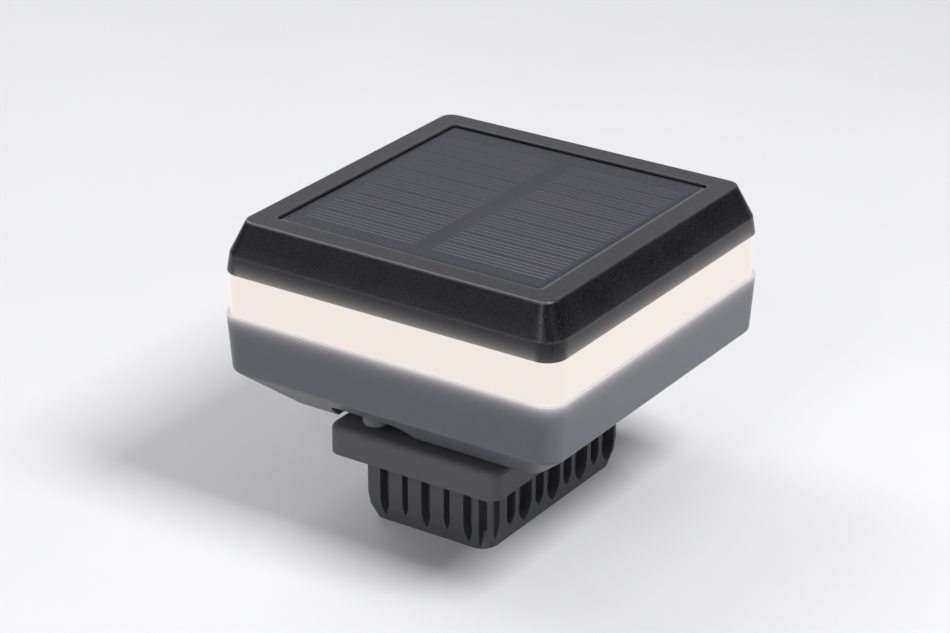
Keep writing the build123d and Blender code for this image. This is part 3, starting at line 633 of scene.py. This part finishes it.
# %% Grow a piece from a tree
def grown(name, tree, settings):
    """Plain mesh that a Geometry Nodes tree makes, on an object at the origin."""
    piece = bpy.data.objects.new(name, bpy.data.meshes.new(name))
    bpy.context.scene.collection.objects.link(piece)
    modifier = piece.modifiers.new(name, "NODES")
    modifier.node_group = tree
    for item in tree.interface.items_tree:
        if item.in_out == "INPUT":
            modifier[item.identifier] = settings[item.name]
    evaluated = piece.evaluated_get(bpy.context.evaluated_depsgraph_get())
    mesh = bpy.data.meshes.new_from_object(evaluated)
    piece.modifiers.remove(modifier)
    piece.data = mesh
    return piece


# %% [markdown]
# ## Silver paste
#
# The fingers are screen-printed silver paste. Through the veil they show at the front and on the right,
# and sink into the colour of the cells towards the back. Reflections of the studio do that to a real
# panel, but they depend on every lamp, so the paste itself fades with its place.

# %% Print the fingers
shown_in_middle = 0.42                         # share of the paste's colour in the panel's middle
shown_forward, shown_right = 0.0125, 0.0055    # how much that rises with each millimetre


def silver_paste():
    finish = Finish("fingers", Specular_IOR_Level=0.5)
    shown = (shown_in_middle - shown_forward * finish.axis("Y") + shown_right * finish.axis("X")).clamped()
    paste = finish.mix(finish.noise(3.0), (0.175, 0.18, 0.195), (0.21, 0.215, 0.23))
    finish.feed("Base Color", finish.mix(shown, silicon_colour(finish), paste))
    finish.skin(0.34, 0.1, patch=0.6, ripple=0.3, depth=0.006)
    return finish


left_low, left_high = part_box("solar_cells_left")
finger_count, finger_pitch, first_finger = 36, 1.52 * MM, 0.4 * MM
finger_width, finger_thickness, finger_lift = 0.42 * MM, 0.02 * MM, 0.012 * MM
finger_margins = 0.5 * MM
strip_width, strip_pitch = 5.53 * MM, 6.08 * MM
finger_length = left_high.x - left_low.x - finger_margins
fingers = grown("cell_fingers", finger_tree(), {
    "Fingers": finger_count,
    "Finger pitch": finger_pitch,
    "First finger": first_finger,
    "Finger size": (finger_length, finger_width, finger_thickness),
    "Strip width": strip_width,
    "Strip pitch": strip_pitch,
    "First strip": left_low.y,
    "Column middle": (left_low.x + left_high.x) / -2,
    "Height": left_high.z + finger_lift,
    "Material": silver_paste().material,
})
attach(fingers, "lamp")
faces_of_a_bar = 6
print("fingers:", len(fingers.data.polygons) // faces_of_a_bar)


# %% [markdown]
# ## Floor, light and size
#
# A plain pale floor carries the lamp on the end of its plug. So pale a floor throws much light up at the
# undersides. It is darker for every ray except those that show it, directly or in a reflection.
#
# Seven soft area lights work like the softboxes of a studio. A wide one behind lies as a reflection on
# the cover's top. One from the right, one in front and one from the left shape the sides, and a weak one
# hangs above. A small one in front draws the streak on the near corner, and another one high at the left
# draws the crown's edge. The world adds a pale fill from everywhere.

# %% Floor
floor_half = 3.0              # in metres
unseen = (0.3, 0.3, 0.3)      # its colour for the light that it throws back


def lay_floor():
    mesh = bpy.data.meshes.new("floor")
    corners = [(x * floor_half, y * floor_half, 0) for x, y in ((-1, -1), (1, -1), (1, 1), (-1, 1))]
    mesh.from_pydata(corners, [], [(0, 1, 2, 3)])
    piece = bpy.data.objects.new("floor", mesh)
    bpy.context.scene.collection.objects.link(piece)
    finish = Finish("floor", Roughness=0.7, Specular_IOR_Level=0.2)
    seen = finish.add("ShaderNodeLightPath", {}, {}, "Is Camera Ray")
    mirrored = finish.add("ShaderNodeLightPath", {}, {}, "Is Glossy Ray")
    pale = finish.mix(finish.noise(60.0), (0.67, 0.67, 0.68), (0.70, 0.70, 0.71))
    finish.feed("Base Color", finish.mix((seen + mirrored).clamped(), unseen, pale))
    dress(piece, finish)
    return piece


lay_floor()


# %% Lights
lit_point = Vector((0, 0, 0.05))


def softbox(name, azimuth, elevation, distance, width, height, power, colour=(1, 1, 1)):
    """Rectangular area light that looks at the lamp. Sizes are in metres, and power is in watts."""
    lamp = bpy.data.lights.new(name, "AREA")
    lamp.shape, lamp.size, lamp.size_y = "RECTANGLE", width, height
    lamp.energy, lamp.color = power, colour
    light = bpy.data.objects.new(name, lamp)
    bpy.context.scene.collection.objects.link(light)
    light.location = lit_point + distance * direction(azimuth, elevation)
    aim(light, lit_point)


softbox("back", 213, 22, 1.2, 1.6, 0.9, 3.5, (0.95, 0.94, 1.0))
softbox("edge", -98, 57, 0.9, 0.3, 0.3, 1.6)
softbox("top", 20, 80, 0.9, 0.6, 0.6, 0.6)
softbox("right", 90, 54, 0.9, 0.3, 0.3, 8.2)
softbox("front", -36, 22, 1.0, 1.0, 0.7, 1.2)
softbox("strip", 7, 32, 1.0, 0.26, 0.35, 2.1)
softbox("left", -102, 38, 1.0, 0.8, 0.3, 2.4)
print("softboxes:", len(bpy.data.lights))

fill_colour, fill_strength = (0.90, 0.92, 1.0, 1), 0.1
world = bpy.data.worlds.new("studio")
world.use_nodes = True
bpy.context.scene.world = world
fill = world.node_tree.nodes["Background"]
fill.inputs["Color"].default_value = fill_colour
fill.inputs["Strength"].default_value = fill_strength
